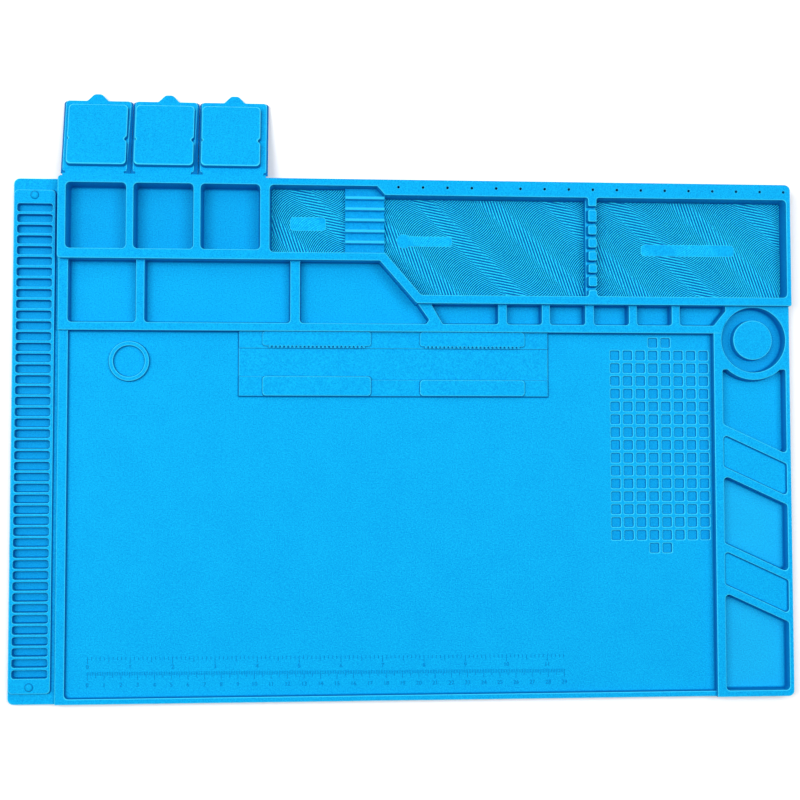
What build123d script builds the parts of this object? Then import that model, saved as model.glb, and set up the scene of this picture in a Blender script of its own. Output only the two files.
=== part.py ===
"""Silicone repair mat with sorting trays, three flip-over box lids and a slotted edge strip.

Millimetres. X runs along the mat, Y towards the lids, Z up. The origin is the middle of the underside.
The mat's moulded zones are separate solids that meet face to face on one base sheet.
"""

import os
from build123d import *

# Whole mat
LENGTH = 480.0
DEPTH = 318.0
CORNER = 3.5
HALF_X = LENGTH / 2
HALF_Y = DEPTH / 2

# Heights above the table
BASE = 1.5
PAD_TOP = 4.2
FLOOR = 3.0
BED_TOP = 3.5
LOW_RIM = 6.0
MID_RIM = 9.0
TOP_RIM = 14.0

# Moulded walls and pocket corners
DRAFT = 4.0
POCKET_RADIUS = 1.8
SMALL_RADIUS = 0.9

# Plan lines that several zones share
WALL_LEFT = -211.8
WORK_LEFT = -206.2
WORK_RIGHT = 191.7
WORK_FRONT = -155.7
WORK_REAR = 66.0
BLOCK_FRONT = 109.0
BLOCK_STEP = 83.0
BLOCK_BEND = -17.3
BLOCK_FOOT = 5.3
BOX_ROW_RIGHT = -87.3
MIDDLE_SEAM = ((16.5, 66.0), (16.5, 74.0), (8.5, 83.0))
COLUMN_SEAM = ((196.0, 66.0), (204.0, 83.0))
PAST = 3.0

# Slotted edge strip
STRIP_X = (-239.2, -214.5)
STRIP_Y = (-152.2, 151.5)
STRIP_RADIUS = 2.5
SLOT_X = (-237.3, -216.0)
SLOT_COUNT = 44
SLOT_PITCH = 6.54
SLOT_WIDTH = 5.1
STUD_RADIUS = 2.4
STUD_HEIGHT = 0.8
STUD_Y = 148.3

# Lidded boxes, with one lid each
BOX_LEFTS = (-207.0, -166.6, -126.3)
BOX_WIDTH = 36.0
BOX_Y = (115.0, 155.0)
FLAPS = ((-209.2, -169.6), (-167.3, -129.3), (-126.8, -86.8))
FLAP_NARROWING = (1.2, 1.3, 0.0)
LIP_X = (-209.2, -168.15, -127.8, -86.8)
FLAP_FAR = 209.1
FLAP_THICK = 1.6
WEB_THICK = 0.8
WEB_END = 163.0
WEB_INSET = 1.8
TAB_SHIFTS = (-0.6, 1.45, 0.2)
TAB_WIDTH = 12.8
TAB_CREST = 4.4
TAB_REACH = 4.6
TAB_ROOT = 2.0
PLUG_GAP = 0.15
PLUG_HEIGHT = 3.5
NOTCH = 1.8
SMALL_NOTCH = 0.9
NOTCH_BACK = 3.0
HINGE_Y = 160.0
HINGE_Z = TOP_RIM + 0.15
HINGE_GAP = 0.25
DROOP = 13.0

# Upper trays, the ribbed tool rest and the notched divider between them
TRAY_REAR = 149.5
TRAY_FRONT = 88.1
TRAY_RIGHT = 237.3
SMALL_TRAY = (-84.6, -38.5, 113.7, 154.9)
REST_RIGHT = -14.1
REST_CHAMFER = 4.8
DIAGONAL_FOOT = 7.9
RAIL_FRONT = 147.5
END_LEFT = 235.5
DIVIDER_X = (111.1, 117.4)
NOTCH_Y = (93.1, 101.5, 109.1, 117.2, 125.3, 133.3, 143.0)
NOTCH_WIDTH = 2.5
NOTCH_DEPTH = 5.0
REST_FLOOR = 6.5
RIB_TOP = 10.0
RIB_Y0 = 121.0
RIB_PITCH = 6.85
RIB_COUNT = 5
RIB_WIDTH = 2.0
MAGNET_THICK = 0.9
MAGNET_INSET = 5.0

# Row of pin holes along the rear rail
HOLE_X0 = -5.9
HOLE_PITCH = 15.1
HOLE_COUNT = 17
HOLE_Y = 154.4
HOLE_RADIUS = 0.8
HOLE_DEPTH = 6.0

# Middle and small trays
MIDDLE_FRONT = 70.8
MIDDLE_TRAYS = ((-206.0, -165.3), (-160.2, -71.9))
SLANT_TRAY = ((-66.1, 70.8), (11.4, 70.8), (13.4, 73.2), (-15.0, 109.0), (-66.1, 109.0))
SMALL_TRAYS = ((61.5, 83.4), (88.4, 110.6), (116.0, 138.1), (143.1, 165.2))
FIRST_SMALL = ((21.7, 70.8), (56.2, 70.8), (56.2, 83.0), (14.6, 83.0))
LAST_SMALL = ((170.3, 70.8), (191.8, 70.8), (199.3, 80.0), (199.3, 83.0), (170.3, 83.0))

# Right-hand column: round well above five slanted bins
WELL = (217.0, 62.0)
WELL_RADIUS = 20.4
WELL_WALL = 25.0
DISC_RADIUS = 12.3
DISC_TOP = 7.5
BIN_X = (197.1, 237.3)
BIN_SLOPE = -0.46
BIN_REAR = 43.5
DEEP_BINS = ((-22.4, -64.4), (-95.0, None))
FIRST_BIN_FRONT = 9.2
SHALLOW_BINS = ((3.0, -17.0), (-69.2, -89.9))
SHALLOW_FLOOR = 6.8
BIN_FRONT = -155.2

# Work area: screw grid, locating ring and circuit board clamp
GRID_X0 = 130.35
GRID_Y0 = -59.6
GRID_COLUMNS = 8
GRID_ROWS = 15
GRID_STEP_X = 8.05
GRID_STEP_Y = 8.0
CELL = 5.9
GRID_LEFT = 125.5
GRID_FRONT = -72.5
RING = (-169.6, 47.4)
RING_OUTER = 12.1
RING_INNER = 9.6
RING_TOP = 5.5
PLATE = (-103.3, 87.6, 26.3, 66.0)
PLATE_TOP = 4.3
RAIL_TOP = 5.0
REAR_RAIL_Y = 55.8
FRONT_RAIL_Y = (38.4, 36.3)
RAIL_SPLIT = -22.5
JAW_TOP = 6.6
JAW_X = ((-88.8, -22.5), (7.8, 72.8))
JAW_RADIUS = 2.0
TOOTH_PITCH = 2.5
TOOTH_COUNT = 24
TOOTH_GAP = 1.25
TOOTH_DEPTH = 1.3


def rectangle(x0, x1, y0, y1):
    return [(x0, y0), (x1, y0), (x1, y1), (x0, y1)]


def outline(points, radius=0.0):
    face = make_face(Polyline(*points, close=True))
    return fillet(face.vertices(), radius) if radius else face


def prism(points, low, high, radius=0.0):
    return extrude(Pos(0, 0, low) * outline(points, radius), high - low)


def cavity(points, floor, top, radius=POCKET_RADIUS):
    """A drafted pocket, widest at its rim."""
    mouth = Pos(0, 0, top) * outline(points, radius)
    return extrude(mouth, top - floor, dir=(0, 0, -1), taper=DRAFT)


def open_cavity(points, rear):
    """A middle-level pocket that runs out past the zone's rear edge, where a higher wall closes it."""
    behind = [(x, y + PAST if y == rear else y) for x, y in points]
    return cavity(behind, BASE, MID_RIM)


def disc(centre, radius, low, high):
    return Pos(centre[0], centre[1], low) * Cylinder(
        radius, high - low, align=(Align.CENTER, Align.CENTER, Align.MIN)
    )


def slanted(rear, front):
    """Outline of a bin whose front and rear walls slope down to the right."""
    drop = BIN_SLOPE * (BIN_X[1] - BIN_X[0])
    front_right = BIN_FRONT if front is None else front + drop
    front_left = BIN_FRONT if front is None else front
    return [
        (BIN_X[0], front_left),
        (BIN_X[1], front_right),
        (BIN_X[1], rear + drop),
        (BIN_X[0], rear),
    ]


FOOTPRINT = prism(rectangle(-HALF_X, HALF_X, -HALF_Y, HALF_Y), 0, TOP_RIM, CORNER)


def tray_field():
    """The one drafted hollow that holds the three ridged trays, the tool rest and the divider."""
    left, _, front, rear = SMALL_TRAY
    points = [
        (left, front),
        (REST_RIGHT, front),
        (DIAGONAL_FOOT, TRAY_FRONT),
        (TRAY_RIGHT, TRAY_FRONT),
        (TRAY_RIGHT, TRAY_REAR),
        (REST_RIGHT, TRAY_REAR),
        (REST_RIGHT - REST_CHAMFER, rear),
        (left, rear),
    ]
    return cavity(points, BASE, TOP_RIM)


def tray_zone(x0, x1, low, high):
    """The slice of the tray field between two X lines and two heights."""
    slab = prism(rectangle(x0, x1, BLOCK_STEP, HALF_Y), low, high)
    return tray_field() & slab


def magnet(x0, x1, y0, y1):
    inset = MAGNET_INSET
    points = rectangle(x0 + inset, x1 - inset, y0 + inset, y1 - inset)
    return prism(points, BASE - MAGNET_THICK, BASE, SMALL_RADIUS)


def magnets():
    left, right, front, rear = SMALL_TRAY
    return {
        "magnet_sheet_small": magnet(left, right, front, rear),
        "magnet_sheet_left": magnet(DIAGONAL_FOOT, DIVIDER_X[0], TRAY_FRONT, TRAY_REAR),
        "magnet_sheet_right": magnet(DIVIDER_X[1], TRAY_RIGHT, TRAY_FRONT, TRAY_REAR),
    }


def base_sheet():
    sheet = prism(rectangle(-HALF_X, HALF_X, -HALF_Y, HALF_Y), 0, BASE, CORNER)
    for piece in magnets().values():
        sheet -= piece
    return sheet


def strip_bed():
    return FOOTPRINT & prism(rectangle(-HALF_X, WALL_LEFT, -HALF_Y, HALF_Y), BASE, BED_TOP)


def slot_strip():
    """The panel's border, open where the row of slots is."""
    strip = prism(rectangle(*STRIP_X, *STRIP_Y), BED_TOP, LOW_RIM, STRIP_RADIUS)
    half = ((SLOT_COUNT - 1) * SLOT_PITCH + SLOT_WIDTH) / 2
    return strip - prism(rectangle(*SLOT_X, -half, half), BED_TOP, LOW_RIM)


def slot_bars():
    """The bars between neighbouring slots."""
    bars = []
    for row in range(1, SLOT_COUNT):
        middle = (row - SLOT_COUNT / 2) * SLOT_PITCH
        half = (SLOT_PITCH - SLOT_WIDTH) / 2
        bars.append(prism(rectangle(*SLOT_X, middle - half, middle + half), BED_TOP, LOW_RIM))
    return Compound(children=bars)


def strip_studs():
    middle = sum(STRIP_X) / 2
    studs = [disc((middle, y), STUD_RADIUS, LOW_RIM, LOW_RIM + STUD_HEIGHT) for y in (-STUD_Y, STUD_Y)]
    return Compound(children=studs)


def box_row():
    row = prism(rectangle(WALL_LEFT, BOX_ROW_RIGHT, BLOCK_FRONT, HALF_Y), BASE, TOP_RIM)
    for left in BOX_LEFTS:
        row -= cavity(rectangle(left, left + BOX_WIDTH, *BOX_Y), BASE, TOP_RIM)
    return row


def tray_frame():
    points = [
        (BOX_ROW_RIGHT, BLOCK_FRONT),
        (BLOCK_BEND, BLOCK_FRONT),
        (BLOCK_FOOT, BLOCK_STEP),
        (HALF_X, BLOCK_STEP),
        (HALF_X, HALF_Y),
        (BOX_ROW_RIGHT, HALF_Y),
    ]
    return (prism(points, BASE, TOP_RIM) & FOOTPRINT) - tray_field()


def tray_walls():
    """The tray frame as its rear rail with the pin holes, its right end wall and its stepped front wall."""
    frame = tray_frame()
    behind = prism(rectangle(BOX_ROW_RIGHT, HALF_X, RAIL_FRONT, HALF_Y), BASE, TOP_RIM)
    end = prism(rectangle(END_LEFT, HALF_X, BLOCK_STEP, RAIL_FRONT), BASE, TOP_RIM)
    rail = frame & behind
    for index in range(HOLE_COUNT):
        centre = (HOLE_X0 + index * HOLE_PITCH, HOLE_Y)
        rail -= disc(centre, HOLE_RADIUS, TOP_RIM - HOLE_DEPTH, TOP_RIM)
    return {"pin_rail": rail, "tray_end_wall": frame & end, "tray_front_wall": frame - behind - end}


def tool_rest():
    return tray_zone(SMALL_TRAY[1], REST_RIGHT, BASE, REST_FLOOR)


def rest_ribs():
    ribs = []
    for index in range(RIB_COUNT):
        middle = RIB_Y0 + index * RIB_PITCH
        low, high = middle - RIB_WIDTH / 2, middle + RIB_WIDTH / 2
        ribs.append(prism(rectangle(SMALL_TRAY[1], REST_RIGHT, low, high), REST_FLOOR, RIB_TOP))
    return Compound(children=[tray_zone(SMALL_TRAY[1], REST_RIGHT, REST_FLOOR, RIB_TOP) & rib for rib in ribs])


def divider_wall():
    return tray_zone(*DIVIDER_X, BASE, TOP_RIM - NOTCH_DEPTH)


def divider_teeth():
    teeth = tray_zone(*DIVIDER_X, TOP_RIM - NOTCH_DEPTH, TOP_RIM)
    for y in NOTCH_Y:
        low, high = y - NOTCH_WIDTH / 2, y + NOTCH_WIDTH / 2
        teeth -= prism(rectangle(*DIVIDER_X, low, high), TOP_RIM - NOTCH_DEPTH, TOP_RIM)
    return Compound(children=list(teeth.solids()))


def tray_pads():
    return {
        "ridged_pad_small": tray_zone(SMALL_TRAY[0], SMALL_TRAY[1], BASE, PAD_TOP),
        "ridged_pad_left": tray_zone(REST_RIGHT, DIVIDER_X[0], BASE, PAD_TOP),
        "ridged_pad_right": tray_zone(DIVIDER_X[1], TRAY_RIGHT, BASE, PAD_TOP),
    }


def middle_row():
    points = [
        (WALL_LEFT, WORK_REAR),
        *MIDDLE_SEAM,
        (BLOCK_FOOT, BLOCK_STEP),
        (BLOCK_BEND, BLOCK_FRONT),
        (WALL_LEFT, BLOCK_FRONT),
    ]
    row = prism(points, BASE, MID_RIM)
    for left, right in MIDDLE_TRAYS:
        row -= open_cavity(rectangle(left, right, MIDDLE_FRONT, BLOCK_FRONT), BLOCK_FRONT)
    return row - open_cavity(SLANT_TRAY, BLOCK_FRONT)


def small_row():
    row = prism([*COLUMN_SEAM, *reversed(MIDDLE_SEAM)], BASE, MID_RIM)
    trays = [rectangle(left, right, MIDDLE_FRONT, BLOCK_STEP) for left, right in SMALL_TRAYS]
    for points in [FIRST_SMALL, *trays, LAST_SMALL]:
        row -= open_cavity(points, BLOCK_STEP)
    return row


def well_hollow():
    mouth = Pos(WELL[0], WELL[1], MID_RIM) * Circle(WELL_RADIUS)
    return extrude(mouth, MID_RIM - BASE, dir=(0, 0, -1), taper=DRAFT)


def bin_column():
    points = [
        (WORK_RIGHT, -HALF_Y),
        (HALF_X, -HALF_Y),
        (HALF_X, BLOCK_STEP),
        *reversed(COLUMN_SEAM),
        (WORK_RIGHT, WORK_REAR),
    ]
    column = (prism(points, BASE, MID_RIM) & FOOTPRINT) - well_hollow()
    first = slanted(0, FIRST_BIN_FRONT)[:2] + [(BIN_X[1], BIN_REAR), (BIN_X[0], BIN_REAR)]
    column -= cavity(first, BASE, MID_RIM) - disc(WELL, WELL_WALL, BASE, MID_RIM)
    for rear, front in DEEP_BINS:
        column -= cavity(slanted(rear, front), BASE, MID_RIM)
    for rear, front in SHALLOW_BINS:
        column -= cavity(slanted(rear, front), SHALLOW_FLOOR, MID_RIM)
    return column


def left_wall():
    return prism(rectangle(WALL_LEFT, WORK_LEFT, -HALF_Y, WORK_REAR), BASE, LOW_RIM)


def front_border():
    return prism(rectangle(WORK_LEFT, WORK_RIGHT, -HALF_Y, WORK_FRONT), BASE, LOW_RIM)


def work_floor():
    points = [
        (WORK_LEFT, WORK_FRONT),
        (WORK_RIGHT, WORK_FRONT),
        (WORK_RIGHT, GRID_FRONT),
        (GRID_LEFT, GRID_FRONT),
        (GRID_LEFT, WORK_REAR),
        (WORK_LEFT, WORK_REAR),
    ]
    return prism(points, BASE, FLOOR)


def grid_cells():
    """Centres of the screw cells: a full field, and two more cells beyond each end of its middle."""
    middle = (GRID_COLUMNS // 2 - 1, GRID_COLUMNS // 2)
    for row in range(-1, GRID_ROWS + 1):
        columns = range(GRID_COLUMNS) if 0 <= row < GRID_ROWS else middle
        for column in columns:
            yield GRID_X0 + column * GRID_STEP_X, GRID_Y0 + row * GRID_STEP_Y


def screw_grid():
    points = rectangle(GRID_LEFT, WORK_RIGHT, GRID_FRONT, WORK_REAR)
    half = CELL / 2
    cell = outline(rectangle(-half, half, -half, half), SMALL_RADIUS)
    cells = Sketch() + [Pos(x, y, BASE) * cell for x, y in grid_cells()]
    return prism(points, BASE, FLOOR) - extrude(cells, FLOOR - BASE)


def locating_ring():
    return disc(RING, RING_OUTER, FLOOR, RING_TOP) - disc(RING, RING_INNER, FLOOR, RING_TOP)


def board_plate():
    return prism(rectangle(*PLATE), FLOOR, PLATE_TOP)


def rear_rail():
    return prism(rectangle(PLATE[0], PLATE[1], REAR_RAIL_Y, PLATE[3]), PLATE_TOP, RAIL_TOP)


def front_rail():
    points = [
        (PLATE[0], PLATE[2]),
        (PLATE[1], PLATE[2]),
        (PLATE[1], FRONT_RAIL_Y[1]),
        (RAIL_SPLIT, FRONT_RAIL_Y[1]),
        (RAIL_SPLIT, FRONT_RAIL_Y[0]),
        (PLATE[0], FRONT_RAIL_Y[0]),
    ]
    return prism(points, PLATE_TOP, RAIL_TOP)


def toothed_jaw(left, right):
    """A rear clamp jaw with a row of teeth along its front edge."""
    jaw = prism(rectangle(left, right, REAR_RAIL_Y, PLATE[3]), RAIL_TOP, JAW_TOP, JAW_RADIUS)
    middle = (left + right) / 2
    for index in range(TOOTH_COUNT):
        x = middle + (index - (TOOTH_COUNT - 1) / 2) * TOOTH_PITCH
        gap = rectangle(x - TOOTH_GAP / 2, x + TOOTH_GAP / 2, REAR_RAIL_Y, REAR_RAIL_Y + TOOTH_DEPTH)
        jaw -= prism(gap, RAIL_TOP, JAW_TOP)
    return jaw


def plain_jaw(left, right, rear):
    return prism(rectangle(left, right, PLATE[2], rear), RAIL_TOP, JAW_TOP, JAW_RADIUS)


def jaws():
    (left, split), (start, right) = JAW_X
    return {
        "rear_jaw_left": toothed_jaw(left, split),
        "rear_jaw_right": toothed_jaw(start, right),
        "front_jaw_left": plain_jaw(left, split, FRONT_RAIL_Y[0]),
        "front_jaw_right": plain_jaw(start, right, FRONT_RAIL_Y[1]),
    }


def drooped(solid):
    """Turns a lid piece from flat open to where its own weight holds it."""
    hinge = Axis((0, HINGE_Y, HINGE_Z), (1, 0, 0))
    return solid.rotate(hinge, -DROOP)


def hinge_lip(left, right):
    """The mat's half of a moulded fold."""
    return prism(rectangle(left, right, HALF_Y, HINGE_Y - HINGE_GAP), TOP_RIM - WEB_THICK, TOP_RIM)


def lid_flap(left, right, narrowing, shift):
    """The lid's half of the fold, its flat flap and the thumb tab on its outer edge.

    narrowing is how far the right side runs in towards the fold.
    """
    web = [
        (left + WEB_INSET, HINGE_Y + HINGE_GAP),
        (right - narrowing - WEB_INSET, HINGE_Y + HINGE_GAP),
        (right - narrowing, WEB_END),
        (left, WEB_END),
    ]
    sheet = [(left, WEB_END), (right - narrowing, WEB_END), (right, FLAP_FAR), (left, FLAP_FAR)]
    middle = (left + right) / 2 + shift
    tab = [
        (middle - TAB_WIDTH / 2, FLAP_FAR - TAB_ROOT),
        (middle + TAB_WIDTH / 2, FLAP_FAR - TAB_ROOT),
        (middle + TAB_WIDTH / 2, FLAP_FAR),
        (middle + TAB_CREST / 2, FLAP_FAR + TAB_REACH),
        (middle - TAB_CREST / 2, FLAP_FAR + TAB_REACH),
        (middle - TAB_WIDTH / 2, FLAP_FAR),
    ]
    flap = prism(sheet, TOP_RIM - FLAP_THICK, TOP_RIM)
    flap += prism(web, TOP_RIM - WEB_THICK, TOP_RIM)
    flap += prism(tab, TOP_RIM - FLAP_THICK, TOP_RIM)
    return drooped(flap)


def notch(x, y, depth):
    """The blunt V that is cut out of a plug's side at x, going left if depth is positive."""
    points = [(x + depth, y - 2 * depth), (x - depth, y), (x + depth, y + 2 * depth)]
    return prism(points, TOP_RIM, TOP_RIM + PLUG_HEIGHT)


def lid_plug(left):
    """The raised block that fills the mouth of a box when its lid is shut."""
    x0, x1 = left + PLUG_GAP, left + BOX_WIDTH - PLUG_GAP
    near, far = (2 * HINGE_Y - y for y in reversed(BOX_Y))
    foot = outline(rectangle(x0, x1, near + PLUG_GAP, far - PLUG_GAP), POCKET_RADIUS)
    plug = extrude(Pos(0, 0, TOP_RIM) * foot, PLUG_HEIGHT, taper=DRAFT)
    middle = (near + far) / 2 - NOTCH_BACK
    plug -= notch(x1, middle, NOTCH)
    plug -= notch(x0, middle, -SMALL_NOTCH)
    return drooped(plug)


def lids():
    made = {}
    for index, side in enumerate(("left", "middle", "right")):
        made[f"hinge_lip_{side}"] = hinge_lip(LIP_X[index], LIP_X[index + 1])
        made[f"lid_flap_{side}"] = lid_flap(*FLAPS[index], FLAP_NARROWING[index], TAB_SHIFTS[index])
        made[f"lid_plug_{side}"] = lid_plug(BOX_LEFTS[index])
    return made


def nodes():
    return {
        "base_sheet": base_sheet(),
        "strip_bed": strip_bed(),
        "slot_strip": slot_strip(),
        "slot_bars": slot_bars(),
        "strip_studs": strip_studs(),
        "box_row": box_row(),
        **tray_walls(),
        "tool_rest": tool_rest(),
        "rest_ribs": rest_ribs(),
        "divider_wall": divider_wall(),
        "divider_teeth": divider_teeth(),
        **tray_pads(),
        **magnets(),
        "middle_tray_row": middle_row(),
        "small_tray_row": small_row(),
        "bin_column": bin_column(),
        "well_disc": disc(WELL, DISC_RADIUS, BASE, DISC_TOP),
        "left_wall": left_wall(),
        "front_border": front_border(),
        "work_floor": work_floor(),
        "screw_grid": screw_grid(),
        "locating_ring": locating_ring(),
        "board_plate": board_plate(),
        "rear_rail": rear_rail(),
        "front_rail": front_rail(),
        **jaws(),
        **lids(),
    }


os.makedirs("parts", exist_ok=True)
for name, solid in nodes().items():
    export_step(solid, f"parts/{name}.step")
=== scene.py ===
"""Blue silicone repair mat with sorting trays, flip-over box lids and a slotted edge strip.

Every piece is built here in millimetres, in the CAD model's frame, and stands for the CAD nodes that it
names.
"""

import math

import bpy
from mathutils import Matrix, Vector
from mathutils.geometry import delaunay_2d_cdt


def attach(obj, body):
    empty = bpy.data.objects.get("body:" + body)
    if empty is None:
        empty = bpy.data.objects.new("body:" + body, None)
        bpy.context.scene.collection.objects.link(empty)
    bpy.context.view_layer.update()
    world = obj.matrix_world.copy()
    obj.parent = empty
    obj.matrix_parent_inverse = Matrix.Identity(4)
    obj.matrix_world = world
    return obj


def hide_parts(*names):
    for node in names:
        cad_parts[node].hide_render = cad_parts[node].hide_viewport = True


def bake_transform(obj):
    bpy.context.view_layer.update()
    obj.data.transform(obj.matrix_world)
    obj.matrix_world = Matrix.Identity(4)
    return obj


MM = 0.001

# Whole mat and its levels
HALF_X, HALF_Y, CORNER = 240.0, 159.0, 3.5
BASE, FLOOR, BED, LOW, MID, TOP = 1.5, 3.0, 3.5, 6.0, 9.0, 14.0
RIDGE_LOW, RIDGE_HIGH, TAG_TOP = 3.0, 4.2, 4.15
SLOPE = math.tan(math.radians(4.0))

# Plan lines that several zones share
WALL_LEFT, WORK_LEFT, WORK_RIGHT = -211.8, -206.2, 191.7
WORK_FRONT, WORK_REAR = -155.7, 66.0
BLOCK_FRONT, BLOCK_STEP, BLOCK_BEND, BLOCK_FOOT = 109.0, 83.0, -17.3, 5.3
BOX_ROW_RIGHT = -87.3
MIDDLE_SEAM = [(16.5, 66.0), (16.5, 74.0), (8.5, 83.0)]
COLUMN_SEAM = [(196.0, 66.0), (204.0, 83.0)]

# Slotted edge strip
STRIP_X, STRIP_Y, SLOT_X = (-239.2, -214.5), (-152.2, 151.5), (-237.3, -216.0)
SLOT_COUNT, SLOT_PITCH, SLOT_WIDTH = 44, 6.54, 5.1
STUD_RADIUS, STUD_HEIGHT, STUD_Y = 2.4, 0.8, 148.3

# Boxes and their lids
BOX_LEFTS, BOX_WIDTH, BOX_Y = (-207.0, -166.6, -126.3), 36.0, (115.0, 155.0)
FLAPS = ((-209.2, -169.6), (-167.3, -129.3), (-126.8, -86.8))
FLAP_NARROWING = (1.2, 1.3, 0.0)
# How far a flap's back reaches past each CAD side, which nearly closes the gaps between the lids; its slanted
# sides are painted a much deeper blue, painted shade standing in those gaps
FLAP_BEVEL = 1.05
LIP_X = (-209.2, -168.15, -127.8, -86.8)
SIDES = ("left", "middle", "right")
FLAP_FAR, FLAP_THICK, WEB_THICK, WEB_START, WEB_END, WEB_INSET = 209.1, 1.6, 0.8, 160.5, 163.0, 1.8
TAB_SHIFTS, TAB_WIDTH, TAB_CREST, TAB_REACH = (-0.6, 1.45, 0.2), 12.8, 4.4, 4.6
PLUG_GAP, PLUG_HEIGHT, NOTCH, SMALL_NOTCH, NOTCH_BACK = 0.15, 3.5, 1.8, 0.9, 3.0
HINGE_Y, HINGE_Z, DROOP = 160.0, 14.15, 13.0

# Ridged trays, tool rest and notched divider
SMALL_LEFT, SMALL_RIGHT, SMALL_FRONT, SMALL_REAR = -84.6, -38.5, 113.7, 154.9
TRAY_FRONT, TRAY_REAR, TRAY_RIGHT = 88.1, 149.5, 237.3
REST_RIGHT, REST_CHAMFER, DIAGONAL_FOOT = -14.1, 4.8, 7.9
REST_FLOOR, RIB_TOP, RIB_Y0, RIB_PITCH, RIB_COUNT, RIB_WIDTH = 6.5, 10.0, 121.0, 6.85, 5, 2.0
DIVIDER_X = (111.1, 117.4)
TOOTH_X = (111.9, 117.1)
NOTCH_Y = (93.1, 101.5, 109.1, 117.2, 125.3, 133.3, 143.0)
NOTCH_WIDTH, NOTCH_FLOOR = 2.5, 9.0
HOLE_X0, HOLE_PITCH, HOLE_COUNT, HOLE_Y, HOLE_RADIUS, HOLE_DEPTH = -5.9, 15.1, 17, 154.4, 0.85, 6.0

# Middle and small trays
MIDDLE_FRONT = 70.8
MIDDLE_TRAYS = ((-206.0, -165.3), (-160.2, -71.9))
SLANTING_X, SLANTING_FOOT = (-66.1, 11.4), (13.4, 73.2)
SMALL_TRAYS = ((61.5, 83.4), (88.4, 110.6), (116.0, 138.1), (143.1, 165.2))
FIRST_SMALL_FRONT, FIRST_SMALL_REAR = (21.7, 56.2), (14.6, 56.2)
LAST_SMALL_FRONT, LAST_SMALL_REAR, LAST_SMALL_STEP = (170.3, 191.8), (170.3, 199.3), 80.0

# Right-hand column
WELL, WELL_RADIUS, WELL_WALL, DISC_RADIUS, DISC_TOP = (217.0, 62.0), 20.4, 25.0, 12.3, 7.5
BIN_X, BIN_SLOPE, BIN_REAR, BIN_FRONT, FIRST_BIN_FRONT = (197.1, 237.3), -0.46, 43.5, -155.2, 9.2
DEEP_BINS = ((-22.4, -64.4), (-95.0, None))
SHALLOW_BINS, SHALLOW_FLOOR = ((3.0, -17.0), (-69.2, -89.9)), 6.8

# Work area
GRID_X0, GRID_Y0, GRID_COLUMNS, GRID_ROWS = 130.35, -59.6, 8, 15
GRID_STEP_X, GRID_STEP_Y, CELL = 8.05, 8.0, 5.9
GRID_LEFT, GRID_FRONT = 125.5, -72.5
RING, RING_OUTER, RING_INNER, RING_TOP = (-169.6, 47.4), 12.1, 9.6, 5.5
PLATE, PLATE_TOP, RAIL_TOP, JAW_TOP = (-103.3, 87.6, 26.3, 66.0), 4.3, 5.0, 6.6
REAR_RAIL_Y, FRONT_RAIL_Y, RAIL_SPLIT = 55.8, (38.4, 36.3), -22.5
JAW_X, JAW_RADIUS = ((-88.8, -22.5), (7.8, 72.8)), 2.0
TOOTH_PITCH, TOOTH_COUNT, TOOTH_GAP, TOOTH_DEPTH = 2.5, 24, 1.25, 1.3
RULER_X, RULER_LENGTH, INCH = -193.0, 290, 25.4
TICK_RISE, TICK_WIDTH, RULER_LEAN = 0.2, 0.28, 0.005
METRIC_TICKS_Y, INCH_TICKS_Y, METRIC_TICKS, INCH_TICKS = -140.0, -131.0, (5.0, 3.6, 2.2), (4.2, 3.2, 2.0)
METRIC_NUMBERS_Y, INCH_NUMBERS_Y, NUMBER_SIZE = (-149.0, -0.05), (-138.2, -0.12), 2.6

# Blank tags in the ridged trays: x0, x1, y0, y1, and the round lobe at the end of one of them
TAGS = ((-72.4, -50.2, 128.5, 137.0), (-5.0, 28.2, 119.4, 125.8), (147.2, 206.9, 114.8, 122.2))
LOBE, LOBE_RADIUS = (-2.0, 122.6), 4.5

# Ripple pattern: share of a band, and the direction (x, y) and spacing of nearly level and steep ridges
BAND_HALF, RIDGE_GAIN, SWING = 0.14, 0.95, math.tan(math.radians(28))
FLAT_RIDGE, FLAT_PITCH = (0.191, 0.982), 1.67
STEEP_RIDGE, STEEP_PITCH = (0.945, 0.326), 1.70
FINE_PITCH = 1.23

# How far a tray's wall stands in front of the higher wall that closes it
SEAM = 0.03
# Floor of an open tray, just above the base sheet
TRAY_FLOOR = BASE + 0.02

# Painted tones, from 1 (lighter) to -1 (much deeper). They imitate light on rims and shade on walls and at
# their feet, and stay under any light. Rows run from the rounded rim at the top to the foot.
POCKET_TONES = (0.0, 0.6, 0.9, -0.4, -1.0, -1.0, -0.8, -0.6)
RAISED_TONES = (0.0, 0.6, 0.9, -0.4, -1.0, -1.0, -0.8, -0.4, -0.4)
# FLAP_TONES rows 1 and 2 are a painted highlight on the rim; rows 3 to 6 paint the flap's slanted sides a
# much deeper blue, painted shade in the gaps between the lids
FLAP_TONES = (0.0, 0.7, 1.0, -1.0, -1.0, -1.0, -1.0, 0.0)
# Painted shade deepens the floors of the screw cells, the strip's slots, the boxes and the well
CELL_FLOOR_SHADE = -0.3
BOX_FLOOR_SHADE = -0.15
WELL_FLOOR_SHADE = -0.3
# Painted light lightens the floors of the deep bins in the right-hand column
DEEP_BIN_FLOOR_LIGHT = 0.08
RULER_TONE = -0.7
# The tool rest: painted shade on its channel floors, a painted highlight on its rib tops
REST_SHADE_AND_LIGHT = (-0.25, 0.35)

# Camera
CAMERA_AT = (-0.0598, -0.0135, 0.7998)
CAMERA_TURN = (0.0472, -0.0694, -0.0010)
CAMERA_LENS = 58.3


# ---------------------------------------------------------------- plan outlines

def box_corners(x0, x1, y0, y1):
    return [(x0, y0), (x1, y0), (x1, y1), (x0, y1)]


def circle(centre, radius, count=72):
    turns = [2 * math.pi * i / count for i in range(count)]
    return [(centre[0] + radius * math.cos(t), centre[1] + radius * math.sin(t)) for t in turns]


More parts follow.
